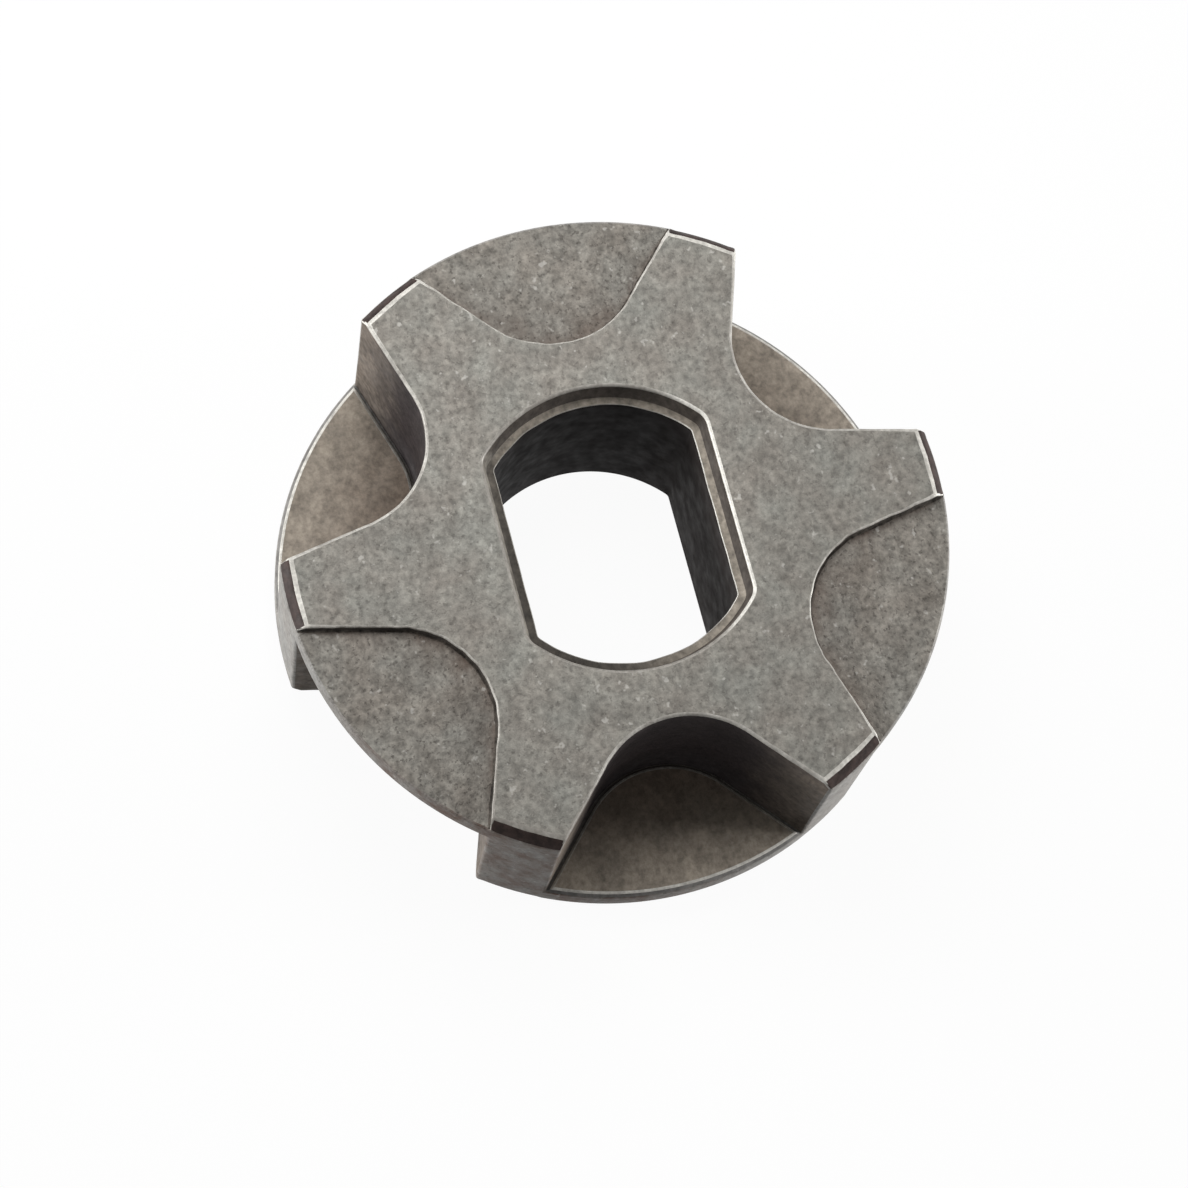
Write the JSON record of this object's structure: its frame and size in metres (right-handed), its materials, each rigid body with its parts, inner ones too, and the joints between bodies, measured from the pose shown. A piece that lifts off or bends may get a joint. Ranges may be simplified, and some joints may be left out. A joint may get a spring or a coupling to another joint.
{
  "type": "chainsaw drive sprocket",
  "caption": "Pressed steel chain sprocket: star-shaped teeth with webs closing the tooth gaps at top and bottom by turns, and a double-D bore for the drive shaft.",
  "frame": {"origin": "on the bore axis, at the lower star face", "axes": "+Z along the bore axis towards the upper star face, +X through the middle of a bay that is open at the top"},
  "size_m": [0.029, 0.029, 0.009],
  "materials": {
    "sintered_steel": "as-sintered steel, matte warm grey with fine open pores, dark oxide in the bore and bay walls"
  },
  "bodies": {
    "root": {"drive_sprocket": "sintered_steel"}
  },
  "joints": []
}
